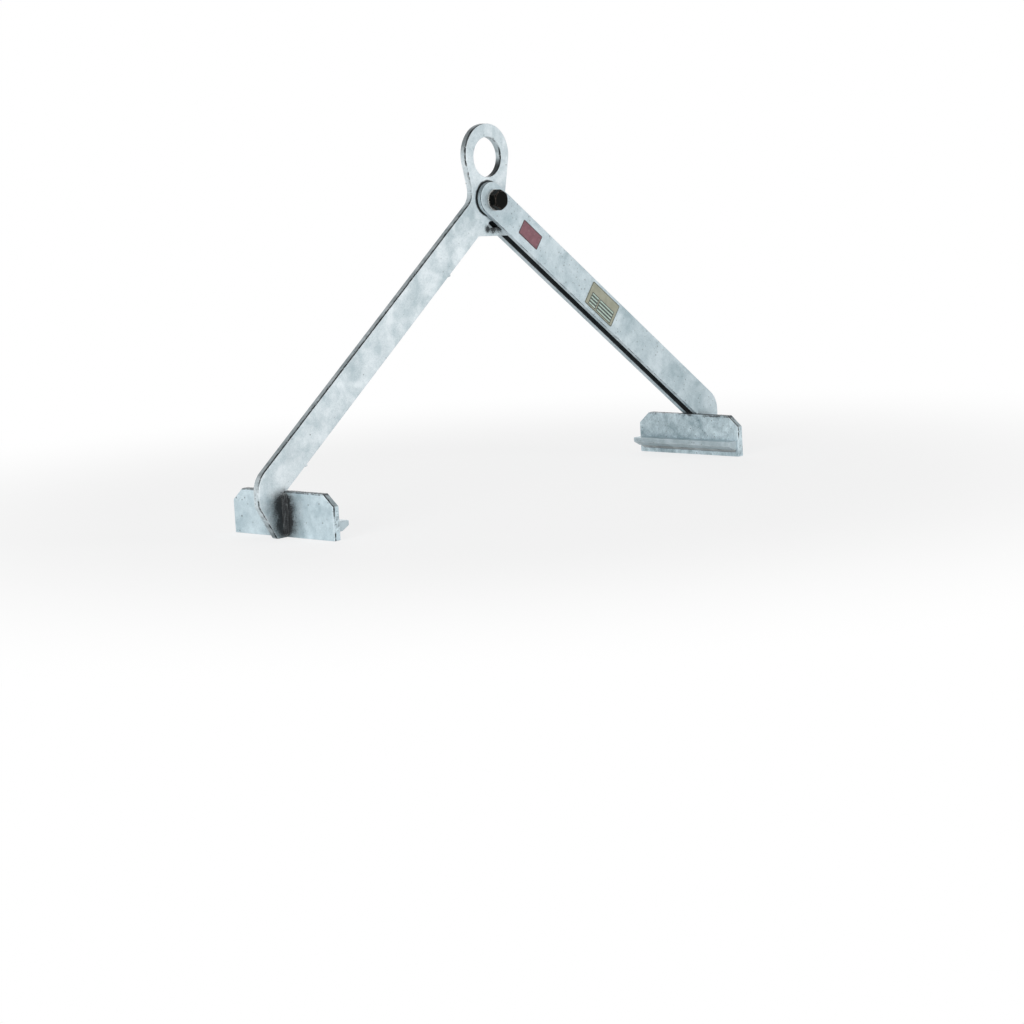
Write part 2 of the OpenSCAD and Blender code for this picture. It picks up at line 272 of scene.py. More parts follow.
class Effects:
    """Shader effects that several finishes share, each built once as a node group."""

    _built: dict[str, Tree] = {}

    @classmethod
    def _start(cls, name: str, inputs: dict[str, str], outputs: dict[str, str]) -> Tree:
        """Makes an empty group with its sockets.

        Args:
            name: The group's name.
            inputs: Socket types by input name.
            outputs: Socket types by output name.

        Returns:
            The group with its input and output nodes in place.
        """
        group = bpy.data.node_groups.new(name, "ShaderNodeTree")
        for key, kind in inputs.items():
            group.interface.new_socket(key, in_out="INPUT", socket_type=kind)
        for key, kind in outputs.items():
            group.interface.new_socket(key, in_out="OUTPUT", socket_type=kind)
        group.nodes.new("NodeGroupInput")
        group.nodes.new("NodeGroupOutput")
        cls._built[name] = group
        return group

    @classmethod
    def zinc_coat(cls) -> Tree:
        """Clouds, spangle, pits and grain of a hot dip zinc coat.

        Returns:
            The group, with a colour, a roughness and a height.
        """
        name = "zinc_coat"
        if name in cls._built:
            return cls._built[name]
        group = cls._start(
            name,
            {"Vector": "NodeSocketVector", "Dark": "NodeSocketColor", "Light": "NodeSocketColor",
             "Clouds": "NodeSocketFloat", "Pits": "NodeSocketFloat", "Pit Crowd": "NodeSocketFloat"},
            {"Color": "NodeSocketColor", "Roughness": "NodeSocketFloat", "Height": "NodeSocketFloat"},
        )
        wire = Wiring(group)
        given = group.nodes["Group Input"].outputs
        result = group.nodes["Group Output"].inputs
        vector = given["Vector"]
        clouds = wire.noise(vector, scale=24.0, detail=4.0, roughness=0.5, distortion=0.7)
        mottle = wire.noise(vector, scale=95.0, detail=5.0, roughness=0.62)
        grain = wire.noise(vector, scale=620.0, detail=2.0, roughness=0.6)
        spangle = wire.add("ShaderNodeTexVoronoi", {"Vector": vector, "Scale": 82.0, "Randomness": 1.0})
        flake = wire.add("ShaderNodeSeparateColor", {"Color": spangle.outputs["Color"]}).outputs[0]
        tone = wire.around(clouds, given["Clouds"])
        for layer, share in ((mottle, 1.3), (flake, 0.20), (grain, 0.9)):
            tone = wire.math("ADD", tone, wire.around(layer, share))
        tone = wire.math("ADD", tone, 0.55, clamp=True)
        colour = wire.mix(tone, given["Dark"], given["Light"])
        spread = {"Vector": vector, "Scale": given["Pit Crowd"], "Randomness": 1.0}
        cells = wire.add("ShaderNodeTexVoronoi", spread)
        chosen = wire.add("ShaderNodeSeparateColor", {"Color": cells.outputs["Color"]})
        patches = wire.noise(vector, scale=17.0, detail=2.0)
        crowd = wire.step(patches, 0.38, 0.62, to_low=0.58, to_high=0.30)
        rare = wire.step(chosen.outputs[1], crowd, wire.math("ADD", crowd, 0.04))
        size = wire.math("ADD", wire.math("MULTIPLY", chosen.outputs[2], 0.18), 0.10)
        core = wire.math("MULTIPLY", size, 0.4)
        near = wire.step(cells.outputs["Distance"], core, size, to_low=1.0, to_high=0.0)
        pit = wire.math("MULTIPLY", wire.math("MULTIPLY", near, rare), given["Pits"], clamp=True)
        wire.feed(result["Color"], wire.mix(pit, colour, tint(0.09, 0.11, 0.12)))
        uneven = wire.math("ADD", mottle, wire.math("MULTIPLY", flake, 0.2))
        rough = wire.step(uneven, 0.3, 0.9, to_low=0.42, to_high=0.60)
        wire.feed(result["Roughness"], rough)
        height = wire.math("ADD", wire.math("MULTIPLY", mottle, 0.55), wire.math("MULTIPLY", grain, 0.10))
        wire.feed(result["Height"], wire.math("SUBTRACT", height, wire.math("MULTIPLY", pit, 0.5)))
        return group

    @classmethod
    def weld_smoke(cls) -> Tree:
        """Dark stain that fades away from an upright weld line.

        Returns:
            The group, with one mask.
        """
        name = "weld_smoke"
        if name in cls._built:
            return cls._built[name]
        numbers = ("Line X", "Line Y", "Low Z", "High Z", "Reach", "Side")
        group = cls._start(
            name,
            {"Vector": "NodeSocketVector", **{key: "NodeSocketFloat" for key in numbers}},
            {"Mask": "NodeSocketFloat"},
        )
        wire = Wiring(group)
        given = group.nodes["Group Input"].outputs
        place = wire.add("ShaderNodeSeparateXYZ", {"Vector": given["Vector"]})
        along_x = wire.math("SUBTRACT", place.outputs[0], given["Line X"])
        along_y = wire.math("SUBTRACT", place.outputs[1], given["Line Y"])
        away = wire.math("DIVIDE", wire.length(along_x, along_y), given["Reach"])
        ragged = wire.noise(given["Vector"], scale=90.0, detail=5.0, roughness=0.65)
        away = wire.math("ADD", away, wire.around(ragged, 0.55))
        soot = wire.noise(given["Vector"], scale=540.0, detail=3.0, roughness=0.7)
        away = wire.math("ADD", away, wire.around(soot, 0.5))
        middle = wire.math("MULTIPLY", wire.math("ADD", given["Low Z"], given["High Z"]), 0.5)
        half = wire.math("MULTIPLY", wire.math("SUBTRACT", given["High Z"], given["Low Z"]), 0.5)
        height = wire.math("ABSOLUTE", wire.math("SUBTRACT", place.outputs[2], middle))
        window = wire.step(wire.math("DIVIDE", height, half), 0.45, 1.15, to_low=1.0, to_high=0.0)
        outward = wire.step(wire.math("MULTIPLY", along_x, given["Side"]), -4.0 * MM, -1.0 * MM)
        window = wire.math("MULTIPLY", window, outward)
        fade = wire.math("POWER", wire.math("SUBTRACT", 1.05, away, clamp=True), 1.25)
        wire.feed(group.nodes["Group Output"].inputs["Mask"], wire.math("MULTIPLY", fade, window))
        return group

    @classmethod
    def edge_line(cls) -> Tree:
        """Broken dark line on a plate's edge beside its outer face, and scattered dirt.

        Returns:
            The group, with one mask.
        """
        name = "edge_line"
        if name in cls._built:
            return cls._built[name]
        group = cls._start(
            name,
            {"Vector": "NodeSocketVector", "Depth": "NodeSocketFloat", "Width": "NodeSocketFloat",
             "Dirt": "NodeSocketFloat", "All Over": "NodeSocketFloat"},
            {"Mask": "NodeSocketFloat"},
        )
        wire = Wiring(group)
        given = group.nodes["Group Input"].outputs
        share = wire.math("DIVIDE", given["Depth"], given["Width"])
        wavy = wire.noise(given["Vector"], scale=160.0, detail=3.0)
        share = wire.math("ADD", share, wire.around(wavy, 1.0))
        line = wire.step(share, 0.5, 1.1, to_low=1.0, to_high=0.0)
        broken = wire.step(wire.noise(given["Vector"], scale=260.0, detail=2.0), 0.29, 0.41)
        patchy = wire.step(wire.noise(given["Vector"], scale=55.0, detail=3.0), 0.44, 0.58)
        patchy = wire.math("MAXIMUM", patchy, wire.mask(Mask.UPWARD))
        line = wire.math("MULTIPLY", wire.math("MULTIPLY", line, broken), patchy)
        dirt = wire.step(wire.noise(given["Vector"], scale=75.0, detail=5.0, roughness=0.7), 0.46, 0.70)
        dirt = wire.math("MULTIPLY", dirt, given["Dirt"])
        walls = wire.math("MAXIMUM", wire.mask(Mask.CUT), given["All Over"])
        mask = wire.math("MULTIPLY", wire.math("MAXIMUM", line, dirt), walls)
        wire.feed(group.nodes["Group Output"].inputs["Mask"], mask)
        return group

    @classmethod
    def shade_film(cls) -> Tree:
        """Ragged dark disc of painted shade and grime, seen along Y.

        Returns:
            The group, with one mask.
        """
        name = "shade_film"
        if name in cls._built:
            return cls._built[name]
        numbers = ("Centre X", "Centre Z", "Radius", "Ragged", "Soft")
        group = cls._start(
            name,
            {"Vector": "NodeSocketVector", **{key: "NodeSocketFloat" for key in numbers}},
            {"Mask": "NodeSocketFloat"},
        )
        wire = Wiring(group)
        given = group.nodes["Group Input"].outputs
        place = wire.add("ShaderNodeSeparateXYZ", {"Vector": given["Vector"]})
        across = wire.math("SUBTRACT", place.outputs[0], given["Centre X"])
        upward = wire.math("SUBTRACT", place.outputs[2], given["Centre Z"])
        away = wire.math("DIVIDE", wire.length(across, upward), given["Radius"])
        cells = wire.math("DIVIDE", 3.5, given["Radius"])
        cloud = wire.noise(given["Vector"], scale=cells, detail=4.0, roughness=0.65)
        ragged = wire.around(cloud, given["Ragged"])
        inner = wire.math("SUBTRACT", 1.0, given["Soft"])
        outer = wire.math("ADD", 1.0, given["Soft"])
        mask = wire.step(wire.math("ADD", away, ragged), inner, outer, to_low=1.0, to_high=0.0)
        wire.feed(group.nodes["Group Output"].inputs["Mask"], mask)
        return group

    @classmethod
    def scuffs(cls) -> Tree:
        """Thin scratches and rubbed patches of handled hardware.

        Returns:
            The group, with one mask.
        """
        name = "scuffs"
        if name in cls._built:
            return cls._built[name]
        group = cls._start(
            name,
            {"Vector": "NodeSocketVector", "Scale": "NodeSocketFloat", "Amount": "NodeSocketFloat"},
            {"Mask": "NodeSocketFloat"},
        )
        wire = Wiring(group)
        given = group.nodes["Group Input"].outputs
        stretched = wire.add("ShaderNodeMapping", {"Vector": given["Vector"], "Rotation": (0.3, 0.9, 0.5),
                                                   "Scale": (1.0, 0.12, 1.0)}).outputs[0]
        lines = wire.noise(stretched, scale=given["Scale"], detail=4.0, roughness=0.7, distortion=0.2)
        coarse = wire.math("MULTIPLY", given["Scale"], 0.22)
        rubbed = wire.noise(given["Vector"], scale=coarse, detail=3.0)
        mask = wire.math("MULTIPLY", wire.step(lines, 0.56, 0.68), wire.step(rubbed, 0.42, 0.62))
        mask = wire.math("MULTIPLY", mask, given["Amount"], clamp=True)
        wire.feed(group.nodes["Group Output"].inputs["Mask"], mask)
        return group


class Finish:
    """A material with one Principled shader, kept under its name."""

    def __init__(self, name: str) -> None:
        """Makes the material and its shader.

        Args:
            name: The material's name.
        """
        self.material = bpy.data.materials.new(name)
        self.material.use_nodes = True
        self.wire = Wiring(self.material.node_tree)
        self.shader = self.material.node_tree.nodes["Principled BSDF"]
        self.place = self.wire.add("ShaderNodeTexCoord").outputs["Object"]

    def group(self, tree: Tree, inputs: dict[str, Feed]) -> bpy.types.Node:
        """Places a shared effect in this material.

        Args:
            tree: The effect's group.
            inputs: Its values by name.

        Returns:
            The group's node.
        """
        return self.wire.add("ShaderNodeGroup", inputs, node_tree=tree)

    def set(self, **inputs: Feed) -> None:
        """Feeds the shader's inputs, named with underscores for spaces."""
        for key, value in inputs.items():
            self.wire.feed(self.shader.inputs[key.replace("_", " ")], value)

    def scuffed(self, scale: float, amount: float) -> Socket:
        """Returns the mask of this material's scuffs."""
        inputs = {"Vector": self.place, "Scale": scale, "Amount": amount}
        return self.group(Effects.scuffs(), inputs).outputs[0]

    def bump(self, height: Feed, strength: float, distance: float) -> None:
        """Feeds a bump into the shader's normal.

        Args:
            height: The relief.
            strength: How strongly it shows.
            distance: Its depth in metres.
        """
        inputs = {"Height": height, "Strength": strength, "Distance": distance}
        node = self.wire.add("ShaderNodeBump", inputs)
        self.wire.feed(self.shader.inputs["Normal"], node.outputs["Normal"])


@dataclass(frozen=True)
class Smoke:
    """Where a fin's weld left its stain."""

    line_x: float
    line_y: float
    low_z: float
    high_z: float
    reach: float
    side: float


@dataclass(frozen=True)
class ShadeFilm:
    """A patch of painted shade on the eye arm, with some grease and dirt, on all its faces or on the cut
    walls alone.
    """

    x: float
    z: float
    radius: float
    ragged: float = 0.16
    soft: float = 0.04
    share: float = 0.96
    on_walls: bool = False


@dataclass(frozen=True)
class ZincCoat:
    """Hot dip zinc on one plate, with its dirt, dust and stains, dark edge lines, painted shade and a
    painted arris highlight.
    """

    name: str
    dark: Colour = tint(0.42, 0.51, 0.545)
    light: Colour = tint(0.77, 0.835, 0.865)
    dust_and_shade: Colour = tint(0.16, 0.18, 0.185)
    edge_dark: Colour = tint(0.012, 0.015, 0.017)
    top_rim_dark: Colour = tint(0.025, 0.03, 0.034)
    polish_and_highlight: Colour = tint(0.80, 0.85, 0.87)
    gap_shade: Colour = tint(0.012, 0.016, 0.018)
    shade_and_grime: Colour = tint(0.008, 0.010, 0.011)
    soot: Colour = tint(0.014, 0.017, 0.019)
    dust_and_shade_share: float = 0.72
    edge_dark_share: float = 0.97
    top_rim_share: float = 0.85
    polish_and_highlight_share: float = 0.15
    gap_shade_share: float = 0.93
    smoke_share: float = 1.0
    clouds: float = 2.0
    pits: float = 0.9
    pit_crowd: float = 150.0
    face: float = 0.0
    face_axis: int = 1
    line_width: float = 0.0
    dirt: float = 0.35
    rim_z: float = 0.0
    rim_width: float = 0.0
    shade_films: tuple[ShadeFilm, ...] = ()
    smokes: tuple[Smoke, ...] = ()
    streaks: float = 0.0
    specular: float = 0.5
    metal: float = 0.4
    stain_rough: float = 0.25
    edge_dark_rough: float = 0.45
    relief: float = 0.6 * MM
    relief_share: float = 0.35

    def build(self) -> Material:
        """Builds the material.

        Returns:
            The finished material.
        """
        finish = Finish(self.name)
        wire = finish.wire
        coat = finish.group(Effects.zinc_coat(), {
            "Vector": finish.place, "Dark": self.dark, "Light": self.light, "Clouds": self.clouds,
            "Pits": self.pits, "Pit Crowd": self.pit_crowd,
        })
        # Dust and painted shade darken the upward-facing walls.
        drift = wire.noise(finish.place, scale=60.0, detail=4.0)
        upward_dust_and_shade = wire.step(drift, 0.25, 0.75, to_low=0.6, to_high=1.0)
        upward_dust_and_shade = wire.math("MULTIPLY", upward_dust_and_shade, wire.mask(Mask.UPWARD))
        colour = wire.cover(coat.outputs["Color"], self.dust_and_shade, upward_dust_and_shade, self.dust_and_shade_share)
        edge_darkened: Feed = 0.0
        # A broken dark line on the edge beside the outer face, with scattered dirt on the cut walls.
        if self.line_width > 0.0:
            depth = wire.math("SUBTRACT", wire.axis(finish.place, self.face_axis), self.face)
            edge_darkened = self._line(finish, depth, self.line_width, self.dirt, 0.0)
            colour = wire.cover(colour, self.edge_dark, edge_darkened, self.edge_dark_share)
        # A broken dark line along the top edge, over all faces.
        if self.rim_width > 0.0:
            depth = wire.math("SUBTRACT", self.rim_z, wire.axis(finish.place, 2))
            rim = self._line(finish, depth, self.rim_width, 0.0, 1.0)
            colour = wire.cover(colour, self.top_rim_dark, rim, self.top_rim_share)
        # Painted highlight on the rounded arrises.
        colour = wire.cover(colour, self.polish_and_highlight, wire.mask(Mask.ARRIS), self.polish_and_highlight_share)
        # Painted shade on the bar faces that look into the gap between the bars.
        colour = wire.cover(colour, self.gap_shade, wire.mask(Mask.HIDDEN), self.gap_shade_share)
        # Painted shadow and shade, with some grime, from the listed patches.
        for film in self.shade_films:
            colour = wire.cover(colour, self.shade_and_grime, self._spot(finish, film), film.share)
        roughness = coat.outputs["Roughness"]
        metallic: Feed = self.metal
        if self.smokes:
            stain = self._stain(finish)
            colour = wire.cover(colour, self.soot, stain, self.smoke_share)
            for mask, share in ((stain, self.stain_rough), (edge_darkened, self.edge_dark_rough)):
                added = wire.math("MULTIPLY", mask, share)
                roughness = wire.math("ADD", roughness, added, clamp=True)
            metallic = wire.math("MULTIPLY", wire.math("SUBTRACT", 1.0, stain), self.metal)
        finish.set(Base_Color=colour, Roughness=roughness, Metallic=metallic)
        finish.set(Specular_IOR_Level=self.specular)
        finish.bump(coat.outputs["Height"], self.relief_share, self.relief)
        return finish.material

    @staticmethod
    def _line(finish: Finish, depth: Feed, width: float, dirt: float, all_over: float) -> Socket:
        """Places one broken dark line.

        Args:
            finish: The material that it goes into.
            depth: How far a point lies from the edge.
            width: The line's width.
            dirt: How much dirt lies on the walls around it.
            all_over: 1 where it runs over all faces, 0 for the cut walls alone.

        Returns:
            The line's mask.
        """
        line = finish.group(Effects.edge_line(), {
            "Vector": finish.place, "Depth": depth, "Width": width, "Dirt": dirt, "All Over": all_over,
        })
        return line.outputs[0]

    @staticmethod
    def _spot(finish: Finish, film: ShadeFilm) -> Socket:
        """Places one patch of painted shade and grime.

        Args:
            finish: The material that it goes into.
            film: The patch.

        Returns:
            The patch's mask.
        """
        spot = finish.group(Effects.shade_film(), {
            "Vector": finish.place, "Centre X": film.x, "Centre Z": film.z, "Radius": film.radius,
            "Ragged": film.ragged, "Soft": film.soft,
        }).outputs[0]
        if film.on_walls:
            spot = finish.wire.math("MULTIPLY", spot, finish.wire.mask(Mask.CUT))
        return spot

    def _stain(self, finish: Finish) -> Feed:
        """Adds the weld stains together and lets bare streaks through.

        Args:
            finish: The material that they go into.

        Returns:
            The mask of all stains.
        """
        wire = finish.wire
        stain: Feed = 0.0
        for smoke in self.smokes:
            mask = finish.group(Effects.weld_smoke(), {
                "Vector": finish.place, "Line X": smoke.line_x, "Line Y": smoke.line_y,
                "Low Z": smoke.low_z, "High Z": smoke.high_z, "Reach": smoke.reach, "Side": smoke.side,
            })
            stain = wire.math("ADD", stain, mask.outputs[0], clamp=True)
        if self.streaks > 0.0:
            drawn = wire.add("ShaderNodeMapping", {"Vector": finish.place, "Scale": (1.0, 1.0, 0.12)})
            fibres = wire.noise(drawn.outputs[0], scale=760.0, detail=4.0, roughness=0.65)
            bare = wire.step(fibres, 0.50, 0.66)
            stain = wire.math("SUBTRACT", stain, wire.math("MULTIPLY", bare, self.streaks), clamp=True)
        return stain


@dataclass(frozen=True)
class BlackOxide:
    """Glossy black bolt with rubbed arrises, lightened partly by wear and partly as a painted glint."""

    name: str = "black_oxide"
    base: Colour = tint(0.0016, 0.0022, 0.0016)
    rubbed: Colour = tint(0.24, 0.19, 0.16)
    scuff: Colour = tint(0.03, 0.03, 0.03)
    rubbed_and_glint_share: float = 0.7
    scuff_share: float = 0.35
    specular: float = 0.05

    def build(self) -> Material:
        """Builds the material.

        Returns:
            The finished material.
        """
        finish = Finish(self.name)
        wire = finish.wire
        # Rubbed wear and a painted glint lighten the arrises.
        patchy = wire.step(wire.noise(finish.place, scale=380.0), 0.38, 0.7)
        worn_and_glint = wire.math("MULTIPLY", wire.mask(Mask.ARRIS), patchy)
        colour = wire.cover(self.base, self.rubbed, worn_and_glint, self.rubbed_and_glint_share)
        scuffs = finish.scuffed(scale=900.0, amount=0.5)
        colour = wire.cover(colour, self.scuff, scuffs, self.scuff_share)
        fine = wire.noise(finish.place, scale=700.0, detail=4.0, roughness=0.6)
        roughness = wire.step(fine, 0.3, 0.7, to_low=0.24, to_high=0.40)
        finish.set(Base_Color=colour, Roughness=roughness, Metallic=0.0)
        finish.set(Specular_IOR_Level=self.specular)
        finish.bump(fine, strength=0.15, distance=0.2 * MM)
        return finish.material


@dataclass(frozen=True)
class BrightZinc:
    """Plated and turned hardware."""

    name: str
    base: Colour = tint(0.62, 0.63, 0.61)
    shade: Colour = tint(0.38, 0.39, 0.385)
    scuff: Colour = tint(0.30, 0.29, 0.27)
    polish_and_highlight: Colour = tint(0.85, 0.86, 0.85)
    scuff_share: float = 0.4
    polish_and_highlight_share: float = 0.4
    metal: float = 0.85

    def build(self) -> Material:
        """Builds the material.

        Returns:
            The finished material.
        """
        finish = Finish(self.name)
        wire = finish.wire
        mottle = wire.noise(finish.place, scale=260.0, detail=4.0, roughness=0.6)
        colour = wire.mix(wire.step(mottle, 0.3, 0.7), self.shade, self.base)
        scuffs = finish.scuffed(scale=700.0, amount=0.8)
        colour = wire.cover(colour, self.scuff, scuffs, self.scuff_share)
        # Polish and a painted highlight lighten the rounded arrises.
        colour = wire.cover(colour, self.polish_and_highlight, wire.mask(Mask.ARRIS), self.polish_and_highlight_share)
        roughness = wire.step(mottle, 0.3, 0.7, to_low=0.25, to_high=0.42)
        finish.set(Base_Color=colour, Roughness=roughness, Metallic=self.metal)
        fine = wire.noise(finish.place, scale=900.0, detail=3.0)
        finish.bump(fine, strength=0.12, distance=0.2 * MM)
        return finish.material


@dataclass(frozen=True)
class MouldedNylon:
    """Insert ring of the lock nut."""

    name: str = "moulded_nylon"
    base: Colour = tint(0.05, 0.12, 0.42)
    chafed: Colour = tint(0.12, 0.22, 0.52)

    def build(self) -> Material:
        """Builds the material.

        Returns:
            The finished material.
        """
        finish = Finish(self.name)
        wire = finish.wire
        cloud = wire.noise(finish.place, scale=420.0, detail=3.0)
        colour = wire.mix(wire.step(cloud, 0.35, 0.7), self.base, self.chafed)
        finish.set(Base_Color=colour, Roughness=wire.step(cloud, 0.3, 0.7, to_low=0.45, to_high=0.6))
        finish.bump(cloud, strength=0.1, distance=0.2 * MM)
        return finish.material


@dataclass(frozen=True)
class PlateInk:
    """Printed or anodised colour on one of the thin plates."""

    name: str
    base: Colour
    faded: Colour
    scuff: Colour = tint(0.62, 0.64, 0.62)
    rough: tuple[float, float] = (0.35, 0.5)
    metallic: float = 0.0
    dulled: float = 0.4
    scuff_share: float = 0.6

    def build(self) -> Material:
        """Builds the material.

        Returns:
            The finished material.
        """
        finish = Finish(self.name)
        wire = finish.wire
        cloud = wire.noise(finish.place, scale=110.0, detail=5.0, roughness=0.6)
        fine = wire.noise(finish.place, scale=900.0, detail=2.0)
        colour = wire.mix(wire.step(cloud, 0.3, 0.72), self.base, self.faded)
        scuffs = finish.scuffed(scale=420.0, amount=self.dulled)
        colour = wire.cover(colour, self.scuff, scuffs, self.scuff_share)
        roughness = wire.step(cloud, 0.3, 0.7, *self.rough)
        finish.set(Base_Color=colour, Roughness=roughness, Metallic=self.metallic)
        relief = wire.math("ADD", cloud, wire.math("MULTIPLY", fine, 0.15))
        finish.bump(relief, strength=0.2, distance=0.4 * MM)
        return finish.material


def copy_of(node: str) -> Mesh:
    """Copies a CAD node's mesh, merged and with its flat faces joined.

    Args:
        node: The node's name.

    Returns:
        The copy, which the caller gives to dress.
    """
    mesh = bmesh.new()
    mesh.from_mesh(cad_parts[node].data)
    for mask in Mask:
        mesh.faces.layers.float.new(mask.value)
    bmesh.ops.remove_doubles(mesh, verts=mesh.verts, dist=MERGE_DISTANCE)
    bmesh.ops.dissolve_limit(mesh, angle_limit=FLAT_ANGLE, verts=mesh.verts, edges=mesh.edges,
                             use_dissolve_boundaries=False, delimit=set())
    return mesh


def soften(mesh: Mesh, width: float, segments: int = 3, angle: float = SHARP_ANGLE) -> None:
    """Rounds the arrises of a mesh and marks the new faces.

    Args:
        mesh: The mesh to round.
        width: How far each round reaches from its arris.
        segments: Faces across each round.
        angle: Edges that turn by less stay as they are.
    """
    edges = [edge for edge in mesh.edges if edge.is_manifold and edge.calc_face_angle() > angle]
    made = bmesh.ops.bevel(mesh, geom=edges, offset=width, offset_type="OFFSET", segments=segments,
                           profile=0.5, affect="EDGES", clamp_overlap=True, material=-1)
    mark(mesh, Mask.ARRIS, made["faces"])


def mark(mesh: Mesh, mask: Mask, faces: Iterable[bmesh.types.BMFace]) -> None:
    """Sets one of the face attributes to 1.

    Args:
        mesh: The mesh that holds the faces.
        mask: The attribute.
        faces: The faces to mark.
    """
    layer = mesh.faces.layers.float[mask.value]
    for face in faces:
        face[layer] = 1.0


def mark_walls(mesh: Mesh, axis: Vector) -> None:
    """Marks the cut side walls of a plate, and how far each one looks up.

    Args:
        mesh: The plate's mesh.
        axis: The direction of its thickness.
    """
    upward = mesh.faces.layers.float[Mask.UPWARD.value]
    cut = mesh.faces.layers.float[Mask.CUT.value]
    for face in mesh.faces:
        if abs(face.normal.dot(axis)) < WALL_LIMIT:
            face[cut] = 1.0
            face[upward] = min(1.0, max(0.0, UPWARD_GAIN * face.normal.z))


def dress(mesh: Mesh, name: str, body: Body, nodes: Sequence[str],
          materials: Sequence[Material]) -> bpy.types.Object:
    """Turns a finished mesh into a piece that rides on its body.

    Args:
        mesh: The mesh, which is freed.
        name: The piece's name.
        body: The body that it moves with.
        nodes: The CAD nodes that it stands for.
        materials: Its materials in the order of the faces' indices.

    Returns:
        The new object.
    """
    for face in mesh.faces:
        face.smooth = True
    data = bpy.data.meshes.new(name)
    mesh.to_mesh(data)
    mesh.free()
    for material in materials:
        data.materials.append(material)
    piece = bpy.data.objects.new(name, data)
    bpy.context.scene.collection.objects.link(piece)
    even = piece.modifiers.new("even_normals", "WEIGHTED_NORMAL")
    even.keep_sharp = True
    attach(piece, body.value)
    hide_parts(*nodes)
    LOG.info("%s rides on %s: %d faces", name, body.value, len(data.polygons))
    return piece


@dataclass
class WeldBead:
    """One rippled fillet bead in the corner between two plates."""

    start: Vector
    end: Vector
    first: Vector
    second: Vector
    leg: float
    pitch: float = 2.8 * MM
    crown: float = 0.5
    across: int = 8
    rings_per_ripple: int = 6
    least_rings: int = 12
    passes: int = 1
    seed: float = 0.0
    bow: float = 0.55
    stagger: float = 0.37
    wander: float = 0.25
    wander_ripples: float = 3.1
    body_share: float = 0.93
    ripple_height: float = 0.10
    ripple_power: float = 1.6
    valley: float = 0.13
    valley_power: float = 2.5
    valley_rise: float = 6.0
    uneven: float = 0.05
    uneven_scale: float = 260.0
    end_share: float = 0.45
    end_run: float = 0.8

    def _size(self, travel: float, across: float) -> float:
        """Gives the bead's reach at one place, with its ripples, its passes and its tapered ends.

        Args:
            travel: The way along the bead.
            across: The share of the way across it.

        Returns:
            The share of the leg.
        """
        length = (self.end - self.start).length
        run = min(self.passes - 1, int(across * self.passes))
        place = across * self.passes - run
        lead = self.bow * (1.0 - (2.0 * place - 1.0) ** 2) + self.stagger * run
        sway = self.wander * math.sin(travel / (self.pitch * self.wander_ripples) + self.seed)
        ripple = (travel / self.pitch + lead + sway) % 1.0
        share = self.body_share + self.ripple_height * (1.0 - ripple ** self.ripple_power)
        if self.passes > 1:
            inside = min(1.0, self.valley_rise * across, self.valley_rise * (1.0 - across))
            share -= self.valley * abs(2.0 * place - 1.0) ** self.valley_power * inside
        share += self.uneven * noise.noise(Vector((travel * self.uneven_scale, across * 2.0, self.seed)))
        end_gap = min(travel, length - travel)
        rise = min(1.0, end_gap / (self.end_run * self.leg)) ** 0.5
        return share * (self.end_share + (1.0 - self.end_share) * rise)

    def add_to(self, mesh: Mesh) -> None:
        """Adds the bead as a closed shell.

        Args:
            mesh: The mesh that it goes into.
        """
        length = (self.end - self.start).length
        rings = max(self.least_rings, round(length / self.pitch) * self.rings_per_ripple)
        columns = self.across + 2
        grid = bmesh.ops.create_grid(mesh, x_segments=rings, y_segments=columns, size=0.5)["verts"]
        for vert in grid:
            travel = (vert.co.x + 0.5) * length
            column = round((vert.co.y + 0.5) * columns)
            vert.co = self.start + (self.end - self.start) * (travel / length)
            if 0 < column < columns:
                share = (column - 1) / self.across
                turn = share * math.pi / 2.0
                flat = 1.0 / (math.cos(turn) + math.sin(turn))
                reach = self.leg * (flat + (1.0 - flat) * self.crown) * self._size(travel, share)
                vert.co += (self.first * math.cos(turn) + self.second * math.sin(turn)) * reach
        bmesh.ops.remove_doubles(mesh, verts=grid, dist=MERGE_DISTANCE)
        open_edges = [edge for edge in mesh.edges if edge.is_boundary]
        bmesh.ops.holes_fill(mesh, edges=open_edges, sides=0)
        bmesh.ops.recalc_face_normals(mesh, faces=mesh.faces)


@dataclass
class EyeArm:
    """The plate with the lifting eye, its boss, leg and foot."""

    arris: float = 0.9 * MM
    nub_size: float = 2.4 * MM
    nub_rough: float = 0.25
    nub_grain: float = 400.0
    nub_shift: float = 7.0
    nub_shape: Triple = (1.4, 1.0, 0.9)
    nub_at: tuple[Triple, ...] = (
        (-0.0955, -0.0035, -0.1684), (-0.4075, -0.0040, -0.4090), (-0.2630, 0.0025, -0.2967),
    )

    def build(self, coat: Material) -> None:
        """Makes the arm and the zinc nubs under it.

        Args:
            coat: The arm's finish.
        """
        mesh = copy_of("eye_arm")
        soften(mesh, self.arris)
        mark_walls(mesh, Vector((0.0, 1.0, 0.0)))
        dress(mesh, "eye_arm_coated", Body.EYE_ARM, ["eye_arm"], [coat])
        self._nubs(coat)

    def _nubs(self, coat: Material) -> None:
        """Makes the frozen zinc drips on the arm's lower edge.

        Args:
            coat: The arm's finish.
        """
        mesh = bmesh.new()
        for index, place in enumerate(self.nub_at):
            made = bmesh.ops.create_icosphere(mesh, subdivisions=3, radius=self.nub_size)["verts"]
            for vert in made:
                where = vert.co * self.nub_grain + Vector((index * self.nub_shift, 0.0, 0.0))
                vert.co *= 1.0 + self.nub_rough * noise.noise(where)
            bmesh.ops.scale(mesh, vec=self.nub_shape, verts=made)
            bmesh.ops.translate(mesh, vec=Vector(place), verts=made)
        dress(mesh, "eye_arm_zinc_drips", Body.EYE_ARM, [], [coat])


